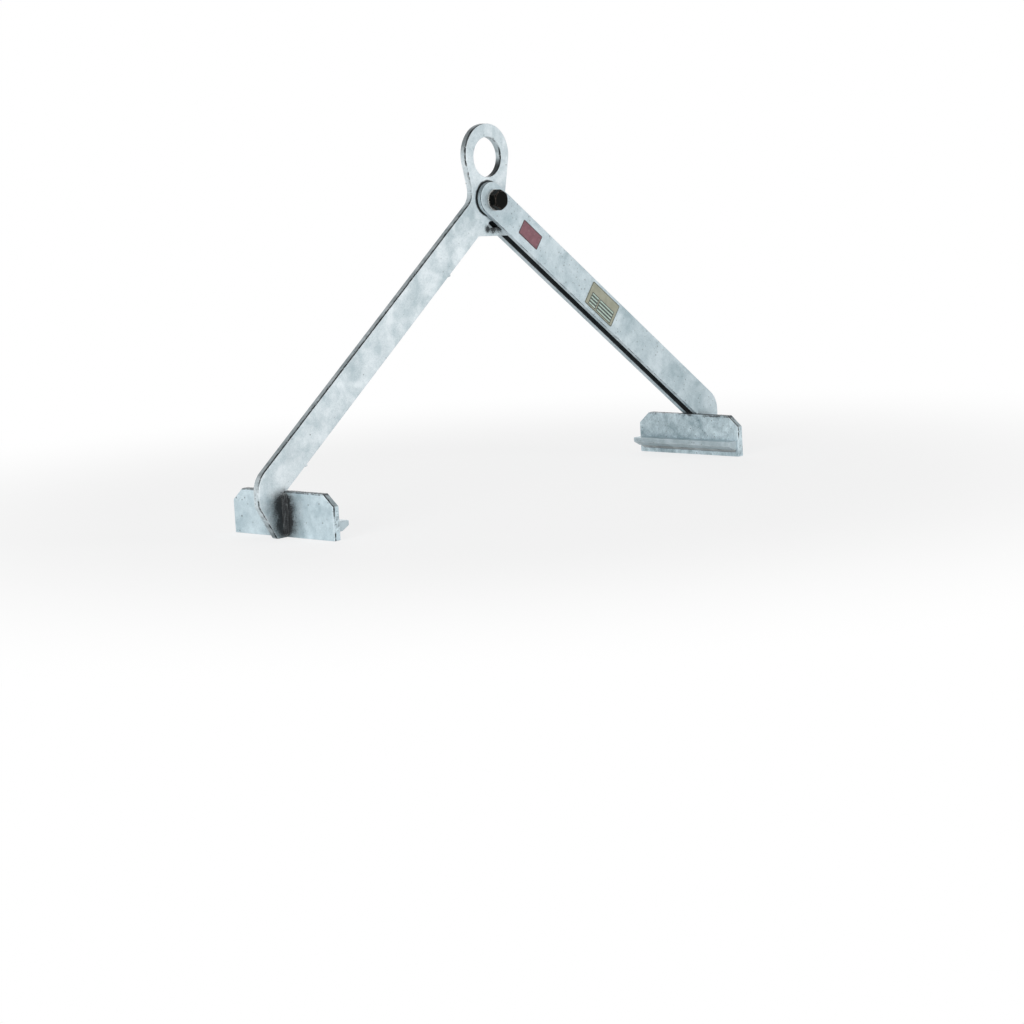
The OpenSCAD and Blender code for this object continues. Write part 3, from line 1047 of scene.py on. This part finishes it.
@dataclass
class Jaw:
    """Jaw plate, hook lip and weld beads at one end of the lifter."""

    side: Side
    body: Body
    foot_half: float
    arris: float = 1.1 * MM
    lip_arris: float = 1.0 * MM
    fin_passes: int = 3
    fin_across: int = 18

    @property
    def word(self) -> str:
        """Name of this end in the CAD nodes."""
        return self.side.name.lower()

    def build(self, coat: Material, shaded_lip_coat: Material, bead_coat: Material) -> None:
        """Makes the four pieces of this end.

        Args:
            coat: Finish of the jaw plate.
            shaded_lip_coat: Finish of the hook lip.
            bead_coat: Finish of the beads.
        """
        node = f"{self.word}_jaw_plate"
        plate = copy_of(node)
        soften(plate, self.arris)
        mark_walls(plate, Vector((1.0, 0.0, 0.0)))
        dress(plate, f"{self.word}_jaw_coated", self.body, [node], [coat])
        node = f"{self.word}_hook_lip"
        lip = copy_of(node)
        soften(lip, self.lip_arris)
        dress(lip, f"{self.word}_lip_coated", self.body, [node], [shaded_lip_coat])
        self._fin_beads(bead_coat)
        self._lip_bead(bead_coat)

    def _fin_beads(self, coat: Material) -> None:
        """Makes the two upright beads beside the foot.

        Args:
            coat: Finish of the beads.
        """
        node = f"{self.word}_fin_welds"
        low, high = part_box(node)
        sign = self.side.value
        face_x = max(low.x * sign, high.x * sign)
        root_x = min(low.x * sign, high.x * sign) * sign
        leg = face_x - abs(root_x)
        mesh = bmesh.new()
        for turn in (-1.0, 1.0):
            root = Vector((root_x, turn * self.foot_half, 0.0))
            bead = WeldBead(root + Vector((0.0, 0.0, high.z)), root + Vector((0.0, 0.0, low.z)),
                            Vector((sign, 0.0, 0.0)), Vector((0.0, turn, 0.0)), leg,
                            across=self.fin_across, passes=self.fin_passes, seed=2.0 + turn)
            bead.add_to(mesh)
        dress(mesh, f"{self.word}_fin_beads", self.body, [node], [coat])

    def _lip_bead(self, coat: Material) -> None:
        """Makes the long bead under the lip.

        Args:
            coat: Finish of the bead.
        """
        node = f"{self.word}_lip_weld"
        low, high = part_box(node)
        sign = self.side.value
        root_x = max(low.x * sign, high.x * sign) * sign
        mesh = bmesh.new()
        bead = WeldBead(Vector((root_x, low.y, high.z)), Vector((root_x, high.y, high.z)),
                        Vector((-sign, 0.0, 0.0)), Vector((0.0, 0.0, -1.0)), high.z - low.z, seed=5.0)
        bead.add_to(mesh)
        dress(mesh, f"{self.word}_lip_bead", self.body, [node], [coat])


@dataclass
class TwoBarArm:
    """The two bars with the stop block between them."""

    arris: float = 0.8 * MM
    block_arris: float = 0.6 * MM
    bead_pitch: float = 1.8 * MM

    def build(self, front: Material, rear: Material, bead_coat: Material) -> None:
        """Makes both bars, the stop block and its beads.

        Args:
            front: Finish of the front bar.
            rear: Finish of the rear bar and the block.
            bead_coat: Finish of the beads.
        """
        self._bar("front_arm_plate", "front_bar_coated", 1.0, front)
        self._bar("rear_arm_plate", "rear_bar_coated", -1.0, rear)
        block = copy_of("stop_block")
        soften(block, self.block_arris)
        dress(block, "stop_block_coated", Body.TWO_BAR, ["stop_block"], [rear])
        self._block_beads(bead_coat)

    def _bar(self, node: str, name: str, inward: float, coat: Material) -> None:
        """Makes one bar.

        Args:
            node: The CAD node that it stands for.
            name: The piece's name.
            inward: The sign of Y towards the other bar.
            coat: Its finish.
        """
        mesh = copy_of(node)
        soften(mesh, self.arris)
        mark_walls(mesh, Vector((0.0, 1.0, 0.0)))
        # The faces turned towards the other bar take the painted gap shade.
        mark(mesh, Mask.HIDDEN, [face for face in mesh.faces if face.normal.y * inward > FACING])
        dress(mesh, name, Body.TWO_BAR, [node], [coat])

    def _block_beads(self, coat: Material) -> None:
        """Makes the two short beads behind the stop block.

        Args:
            coat: Finish of the beads.
        """
        node = "stop_block_welds"
        along, across = bar_axes()
        block = [vert.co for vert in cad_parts["stop_block"].data.vertices]
        far = max(point.dot(along) for point in block)
        gap = [point.y for point in block]
        welds = [vert.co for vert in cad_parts[node].data.vertices]
        leg = max(point.dot(along) for point in welds) - far
        low = min(point.dot(across) for point in welds)
        high = max(point.dot(across) for point in welds)
        mesh = bmesh.new()
        for turn, wall in ((-1.0, max(gap)), (1.0, min(gap))):
            root = along * far + Vector((0.0, wall, 0.0))
            bead = WeldBead(root + across * low, root + across * high, along, Vector((0.0, turn, 0.0)), leg,
                            pitch=self.bead_pitch, seed=8.0 + turn)
            bead.add_to(mesh)
        dress(mesh, "stop_block_beads", Body.TWO_BAR, [node], [coat])


def bar_axes() -> tuple[Vector, Vector]:
    """Reads the direction of the two-bar arm from the type plate's longest edge.

    Returns:
        The direction down the arm and the direction towards its upper edge.
    """
    mesh = copy_of("type_plate")
    longest = max(mesh.edges, key=lambda edge: edge.calc_length())
    along = longest.verts[1].co - longest.verts[0].co
    mesh.free()
    along = along.normalized() if along.x > 0.0 else -along.normalized()
    return along, Vector((-along.z, 0.0, along.x))


@dataclass
class PivotHardware:
    """Bolt, washers, lock nut and bush on the pivot."""

    pitch: float = 2.0 * MM
    thread_depth: float = 1.2 * MM
    crest: tuple[float, float] = (0.44, 0.56)
    seam: float = 0.01 * MM
    chamfer: float = 1.5 * MM
    steps: int = 48
    turns: int = 6
    head_arris: float = 0.5 * MM
    washer_arris: float = 0.35 * MM
    nut_arris: float = 0.3 * MM
    ring_arris: float = 0.2 * MM
    bush_arris: float = 0.3 * MM

    def build(self, black: Material, plated: Material, nylon: Material) -> None:
        """Makes the hardware.

        Args:
            black: Finish of the bolt.
            plated: Finish of washers, nut and bush.
            nylon: Finish of the insert ring.
        """
        self._bolt(black)
        for node in ("head_washer", "nut_washer"):
            self._turned(node, f"{node}_plated", self.washer_arris, plated)
        self._turned("lock_nut", "lock_nut_plated", self.nut_arris, plated)
        self._turned("nut_insert_ring", "nut_insert_moulded", self.ring_arris, nylon)
        self._turned("pivot_bush", "pivot_bush_turned", self.bush_arris, plated)

    def _turned(self, node: str, name: str, arris: float, finish: Material) -> None:
        """Makes one piece with rounded arrises from its CAD node.

        Args:
            node: The CAD node.
            name: The piece's name.
            arris: Width of its rounds.
            finish: Its material.
        """
        mesh = copy_of(node)
        soften(mesh, arris, segments=2, angle=TURNED_ANGLE)
        dress(mesh, name, Body.TWO_BAR, [node], [finish])

    def _bolt(self, black: Material) -> None:
        """Makes the bolt with its hexagon head and threaded end.

        Args:
            black: Finish of the bolt.
        """
        low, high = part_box("pivot_bolt")
        centre = (low + high) / 2.0
        mesh = copy_of("pivot_bolt")
        everything = list(mesh.verts) + list(mesh.edges) + list(mesh.faces)
        root_y = high.y - self.pitch * (self.turns - 1)
        bmesh.ops.bisect_plane(mesh, geom=everything, dist=MERGE_DISTANCE, plane_co=(0.0, root_y, 0.0),
                               plane_no=(0.0, 1.0, 0.0), clear_outer=True)
        bmesh.ops.holes_fill(mesh, edges=[edge for edge in mesh.edges if edge.is_boundary], sides=0)
        soften(mesh, self.head_arris, segments=3, angle=TURNED_ANGLE)
        shank = max(Vector((vert.co.x, 0.0, vert.co.z - centre.z)).length
                    for vert in mesh.verts if vert.co.y > root_y - self.pitch)
        self._thread(mesh, centre, shank, root_y, high.y)
        dress(mesh, "pivot_bolt_threaded", Body.TWO_BAR, ["pivot_bolt"], [black])

    def _thread(self, mesh: Mesh, centre: Vector, radius: float, start: float, end: float) -> None:
        """Adds the threaded end as a closed shell.

        Args:
            mesh: The bolt's mesh.
            centre: A point on the bolt's axis.
            radius: Outer radius of the thread.
            start: Where it begins along Y.
            end: Where the bolt ends along Y.
        """
        shell = bmesh.new()
        root = radius - self.thread_depth
        outline = ((root, 0.0), (radius, self.crest[0]), (radius, self.crest[1]), (root, 1.0))
        first = start - self.pitch
        verts = [shell.verts.new((reach, first + share * self.pitch, centre.z)) for reach, share in outline]
        edges = [shell.edges.new(pair) for pair in zip(verts, verts[1:])]
        bmesh.ops.spin(shell, geom=verts + edges, cent=(0.0, 0.0, centre.z), axis=(0.0, 1.0, 0.0),
                       dvec=(0.0, self.pitch / self.steps, 0.0), angle=2.0 * math.pi * (self.turns + 1),
                       steps=self.steps * (self.turns + 1), use_merge=False)
        bmesh.ops.remove_doubles(shell, verts=shell.verts, dist=self.seam)
        for vert in shell.verts:
            limit = radius - max(0.0, vert.co.y - (end - self.chamfer))
            out = Vector((vert.co.x, 0.0, vert.co.z - centre.z))
            if out.length > limit:
                out *= limit / out.length
                vert.co = (out.x, vert.co.y, out.z + centre.z)
        for level, outer in ((end, True), (start, False)):
            everything = list(shell.verts) + list(shell.edges) + list(shell.faces)
            bmesh.ops.bisect_plane(shell, geom=everything, dist=MERGE_DISTANCE, plane_co=(0.0, level, 0.0),
                                   plane_no=(0.0, 1.0, 0.0), clear_outer=outer, clear_inner=not outer)
            bmesh.ops.holes_fill(shell, edges=[edge for edge in shell.edges if edge.is_boundary], sides=0)
        bmesh.ops.recalc_face_normals(shell, faces=shell.faces)
        data = bpy.data.meshes.new("thread_shell")
        shell.to_mesh(data)
        shell.free()
        mesh.from_mesh(data)
        bpy.data.meshes.remove(data)


@dataclass
class BarePlates:
    """Red label and type plate on the front bar, both without print."""

    label_border: float = 1.3 * MM
    label_arris: float = 0.05 * MM
    plate_border: float = 1.0 * MM
    plate_arris: float = 0.15 * MM
    recess: float = 0.1 * MM
    rows: int = 4
    row_from: float = 0.07
    row_pitch: float = 0.135
    rule: float = 1.25 * MM
    field_from: float = 0.10
    field_split: float = 0.26
    field_gap: float = 0.03
    field_to: float = 0.92
    field_fill: float = 0.97
    field_rise: float = 0.12 * MM

    def build(self, foil: Material, foil_edge: Material, olive: Material,
              dark: Material, pale: Material) -> None:
        """Makes both plates.

        Args:
            foil: Field of the label.
            foil_edge: Border of the label.
            olive: Ground of the type plate.
            dark: Rules on the type plate.
            pale: Empty entry fields on the type plate.
        """
        label = self._bordered("marking_label", self.label_border, self.label_arris, 0.0)
        dress(label, "marking_label_bare", Body.TWO_BAR, ["marking_label"], [foil, foil_edge])
        plate = self._bordered("type_plate", self.plate_border, self.plate_arris, -self.recess)
        self._fields(plate)
        dress(plate, "type_plate_bare", Body.TWO_BAR, ["type_plate"], [olive, dark, pale])

    def _bordered(self, node: str, border: float, arris: float, depth: float) -> Mesh:
        """Copies a plate and sets a border off on its front.

        Args:
            node: The CAD node.
            border: Width of the border.
            arris: Width of the rounds.
            depth: How far the field lies behind the border.

        Returns:
            The mesh, with the border on material 1.
        """
        mesh = copy_of(node)
        soften(mesh, arris, segments=2)
        facing = [face for face in mesh.faces if face.normal.y < -FACING]
        front = max(facing, key=lambda face: face.calc_area())
        ring = bmesh.ops.inset_region(mesh, faces=[front], thickness=border, depth=depth,
                                      use_even_offset=True)
        for face in ring["faces"]:
            face.material_index = 1
        return mesh

    def _fields(self, mesh: Mesh) -> None:
        """Adds the rows of empty entry fields to the type plate.

        Args:
            mesh: The plate's mesh.
        """
        along, across = bar_axes()
        points = [vert.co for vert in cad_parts["type_plate"].data.vertices]
        left = min(point.dot(along) for point in points)
        length = max(point.dot(along) for point in points) - left
        bottom = min(point.dot(across) for point in points)
        width = max(point.dot(across) for point in points) - bottom
        face_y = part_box("type_plate")[0].y + self.recess
        pitch = self.row_pitch * width
        split = self.field_from + self.field_split
        spans = ((self.field_from, split), (split + self.field_gap, self.field_to))
        for row in range(self.rows):
            level = bottom + self.row_from * width + pitch * row
            for start, end in spans:
                self._field(mesh, along, across, left + length * start, left + length * end, level,
                            level + self.field_fill * pitch, face_y)

    def _field(self, mesh: Mesh, along: Vector, across: Vector, start: float, end: float,
               bottom: float, top: float, face_y: float) -> None:
        """Adds one framed field.

        Args:
            mesh: The plate's mesh.
            along: Direction down the arm.
            across: Direction towards its upper edge.
            start: Where the field starts along the arm.
            end: Where it ends along the arm.
            bottom: Its lower edge across the arm.
            top: Its upper edge across the arm.
            face_y: Y of the plate's face.
        """
        made = bmesh.ops.create_cube(mesh, size=1.0)["verts"]
        for vert in made:
            reach = start + (vert.co.x + 0.5) * (end - start)
            level = bottom + (vert.co.z + 0.5) * (top - bottom)
            deep = face_y - (0.5 - vert.co.y) * self.field_rise
            vert.co = along * reach + across * level + Vector((0.0, deep, 0.0))
        faces = {face for vert in made for face in vert.link_faces}
        bmesh.ops.recalc_face_normals(mesh, faces=list(faces))
        for face in faces:
            face.material_index = 1
        front = min(faces, key=lambda face: face.calc_center_median().y)
        bmesh.ops.inset_region(mesh, faces=[front], thickness=self.rule, use_even_offset=True)
        front.material_index = 2


@dataclass(frozen=True)
class Lamp:
    """One soft square lamp: where it stands, what it faces, its side length and its power in watts."""

    name: str
    at: Triple
    aim: Triple
    size: float
    power: float


@dataclass
class Studio:
    """Floor, lamps, surroundings and camera."""

    floor_half: float = 14.0
    floor_gap: float = 0.5 * MM
    floor_tint: Colour = tint(0.92, 0.92, 0.92)
    floor_rough: float = 0.9
    floor_specular: float = 0.1
    white: Colour = tint(1.0, 1.0, 1.0)
    white_share: float = 0.76
    white_from: float = 0.5
    white_at: float = 1.4
    lens: float = 105.43
    sensor: float = 36.0
    view_depth: float = 60.0
    camera_at: Triple = (-3.2653, -3.0987, 0.1246)
    camera_degrees: Triple = (81.6317, 3.2256, -47.1093)
    world_light: float = 0.36
    lamps: tuple[Lamp, ...] = (
        Lamp("key_lamp", (1.10, -3.0, -0.05), (0.0, 0.0, -0.25), 0.9, 25.0),
        Lamp("left_lamp", (-3.6, -0.9, 0.30), (-0.2, 0.0, -0.30), 1.6, 62.0),
        Lamp("rear_lamp", (2.6, 3.2, 0.8), (0.0, 0.0, -0.25), 2.4, 36.0),
    )

    def build(self) -> None:
        """Sets the stage up."""
        bpy.context.scene.view_settings.view_transform = "Standard"
        self._world()
        self._floor()
        for lamp in self.lamps:
            self._lamp(lamp)
        self._camera()

    def _world(self) -> None:
        """Lights the scene evenly and shows white to the camera and in gloss."""
        world = bpy.data.worlds.new("pale_room")
        bpy.context.scene.world = world
        world.use_nodes = True
        wire = Wiring(world.node_tree)
        ground = world.node_tree.nodes["Background"]
        path = wire.add("ShaderNodeLightPath").outputs
        seen = wire.math("MAXIMUM", path["Is Camera Ray"], path["Is Transmission Ray"])
        seen = wire.math("MAXIMUM", seen, path["Is Glossy Ray"])
        strength = wire.step(seen, 0.0, 1.0, self.world_light, 1.0)
        wire.feed(ground.inputs["Color"], self.white)
        wire.feed(ground.inputs["Strength"], strength)

    def _floor(self) -> None:
        """Makes the pale floor, which fades to white away from the lifter."""
        mesh = bmesh.new()
        bmesh.ops.create_grid(mesh, x_segments=1, y_segments=1, size=self.floor_half)
        level = CAD_BOX[0][2] - self.floor_gap
        bmesh.ops.translate(mesh, vec=(0.0, 0.0, level), verts=mesh.verts)
        data = bpy.data.meshes.new("pale_floor")
        mesh.to_mesh(data)
        mesh.free()
        floor = bpy.data.objects.new("pale_floor", data)
        bpy.context.scene.collection.objects.link(floor)
        material = bpy.data.materials.new("pale_floor")
        material.use_nodes = True
        wire = Wiring(material.node_tree)
        nodes = material.node_tree.nodes
        shader = nodes["Principled BSDF"]
        wire.feed(shader.inputs["Base Color"], self.floor_tint)
        wire.feed(shader.inputs["Roughness"], self.floor_rough)
        wire.feed(shader.inputs["Specular IOR Level"], self.floor_specular)
        white = wire.add("ShaderNodeEmission", {"Color": self.white, "Strength": 1.0})
        place = wire.add("ShaderNodeTexCoord").outputs["Object"]
        flat = wire.add("ShaderNodeVectorMath", {0: place, 1: (1.0, 1.0, 0.0)}, operation="MULTIPLY")
        away = wire.add("ShaderNodeVectorMath", {0: flat.outputs[0]}, operation="LENGTH").outputs["Value"]
        path = wire.add("ShaderNodeLightPath").outputs
        seen = wire.math("MAXIMUM", path["Is Camera Ray"], path["Is Glossy Ray"])
        seen = wire.math("MAXIMUM", seen, path["Is Transmission Ray"])
        share = wire.step(away, self.white_from, self.white_at, self.white_share, 1.0)
        share = wire.math("MULTIPLY", share, seen)
        mixer = wire.add("ShaderNodeMixShader", {0: share, 1: shader.outputs[0], 2: white.outputs[0]})
        wire.feed(nodes["Material Output"].inputs["Surface"], mixer.outputs[0])
        data.materials.append(material)

    @staticmethod
    def _lamp(lamp: Lamp) -> None:
        """Adds one lamp.

        Args:
            lamp: What it is and where it stands.
        """
        light = bpy.data.lights.new(lamp.name, "AREA")
        light.shape = "SQUARE"
        light.size = lamp.size
        light.energy = lamp.power
        stand = bpy.data.objects.new(lamp.name, light)
        bpy.context.scene.collection.objects.link(stand)
        stand.location = lamp.at
        stand.rotation_euler = (Vector(lamp.aim) - Vector(lamp.at)).to_track_quat("-Z", "Y").to_euler()

    def _camera(self) -> None:
        """Puts the camera where the photograph was taken from."""
        data = bpy.data.cameras.new("photo_camera")
        data.lens = self.lens
        data.sensor_width = self.sensor
        data.clip_end = self.view_depth
        camera = bpy.data.objects.new("photo_camera", data)
        bpy.context.scene.collection.objects.link(camera)
        camera.location = self.camera_at
        camera.rotation_euler = [math.radians(angle) for angle in self.camera_degrees]
        bpy.context.scene.camera = camera


def jaw_smokes(node: str, half: float) -> tuple[Smoke, ...]:
    """Places the stains of one foot's two beads.

    Args:
        node: The CAD node of the beads.
        half: Half the thickness of the foot.

    Returns:
        One stain for each bead.
    """
    low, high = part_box(node)
    side = -1.0 if low.x < 0.0 else 1.0
    root_x = high.x if low.x < 0.0 else low.x
    return tuple(Smoke(root_x, turn * (half + STAIN_OFF), low.z - STAIN_BELOW, high.z + STAIN_ABOVE,
                       STAIN_REACH, side)
                 for turn in (-1.0, 1.0))


def main() -> None:
    """Builds the lifter's sub-assemblies in order and sets the stage."""
    logging.basicConfig(level=logging.INFO, format="%(message)s")
    eye_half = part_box("eye_arm")[1].y
    bars_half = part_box("rear_arm_plate")[1].y
    left_smokes = jaw_smokes("left_fin_welds", eye_half)
    right_smokes = jaw_smokes("right_fin_welds", bars_half)
    pivot_z = (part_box("pivot_bush")[0].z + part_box("pivot_bush")[1].z) / 2.0
    # Painted shadow of the bar's end around the pivot, painted shade with some dirt at the nose, and
    # painted shade on the walls of the eye.
    shade_films = (
        ShadeFilm(-4.0 * MM, pivot_z + 3.0 * MM, 27.2 * MM),
        ShadeFilm(-8.5 * MM, pivot_z - 42.5 * MM, 5.5 * MM, ragged=2.2, soft=0.45, share=0.95),
        ShadeFilm(3.5 * MM, pivot_z - 43.0 * MM, 7.0 * MM, ragged=2.6, soft=0.45, share=0.95),
        ShadeFilm(16.0 * MM, pivot_z - 43.0 * MM, 6.5 * MM, ragged=2.6, soft=0.45, share=0.9),
        ShadeFilm(20.0 * MM, -21.0 * MM, 17.0 * MM, ragged=0.6, soft=0.5, share=0.9, on_walls=True),
        ShadeFilm(-33.0 * MM, 32.0 * MM, 22.0 * MM, ragged=0.6, soft=0.5, share=0.5, on_walls=True),
    )
    # The bars' darker tints are partly their zinc tone, partly painted shade that keeps the right arm
    # darker than the left.
    bar_tints_with_shade = {"dark": tint(0.36, 0.46, 0.50), "light": tint(0.62, 0.71, 0.75)}
    eye_coat = ZincCoat("eye_arm_zinc", face=-eye_half, line_width=5.2 * MM, smokes=left_smokes,
                        shade_films=shade_films, specular=0.2, smoke_share=0.95).build()
    front_coat = ZincCoat("front_bar_zinc", **bar_tints_with_shade, pits=0.55, face=-bars_half, line_width=2.6 * MM,
                          smokes=right_smokes).build()
    rear_coat = ZincCoat("rear_bar_zinc", **bar_tints_with_shade, smokes=right_smokes).build()
    left_coat = ZincCoat("left_jaw_zinc", dark=tint(0.38, 0.495, 0.545), light=tint(0.66, 0.775, 0.825),
                         face=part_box("left_jaw_plate")[0].x, face_axis=0, line_width=4.5 * MM, dirt=0.8,
                         rim_z=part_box("left_jaw_plate")[1].z, rim_width=2.4 * MM,
                         smokes=left_smokes).build()
    right_coat = ZincCoat("right_jaw_zinc", dark=tint(0.245, 0.34, 0.38), light=tint(0.70, 0.82, 0.87),
                          face=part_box("right_jaw_plate")[0].x, face_axis=0, line_width=4.0 * MM, dirt=0.6,
                          rim_z=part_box("right_jaw_plate")[1].z, rim_width=3.8 * MM, pit_crowd=205.0,
                          smokes=right_smokes).build()
    # The lip's darker zinc is painted shade.
    shaded_lip_coat = ZincCoat("lip_zinc_shaded", dark=tint(0.29, 0.37, 0.40), light=tint(0.52, 0.61, 0.65)).build()
    bead_coat = ZincCoat("bead_zinc", dark=tint(0.20, 0.22, 0.225), light=tint(0.46, 0.50, 0.51), pits=0.4,
                         streaks=0.34, smokes=left_smokes + right_smokes).build()
    black = BlackOxide().build()
    plated = BrightZinc("plated_zinc").build()
    nylon = MouldedNylon().build()
    EyeArm().build(eye_coat)
    Jaw(Side.LEFT, Body.EYE_ARM, eye_half).build(left_coat, shaded_lip_coat, bead_coat)
    TwoBarArm().build(front_coat, rear_coat, bead_coat)
    Jaw(Side.RIGHT, Body.TWO_BAR, bars_half).build(right_coat, shaded_lip_coat, bead_coat)
    PivotHardware().build(black, plated, nylon)
    BarePlates().build(
        PlateInk("red_foil", tint(0.19, 0.065, 0.085), tint(0.26, 0.105, 0.13)).build(),
        PlateInk("foil_border", tint(0.02, 0.012, 0.014), tint(0.05, 0.03, 0.035)).build(),
        PlateInk("olive_plate", tint(0.30, 0.31, 0.235), tint(0.37, 0.375, 0.29), metallic=0.3).build(),
        PlateInk("plate_rules", tint(0.03, 0.04, 0.035), tint(0.06, 0.075, 0.065)).build(),
        PlateInk("empty_fields", tint(0.42, 0.56, 0.48), tint(0.58, 0.70, 0.62)).build(),
    )
    Studio().build()


if __name__ == "__main__":
    main()
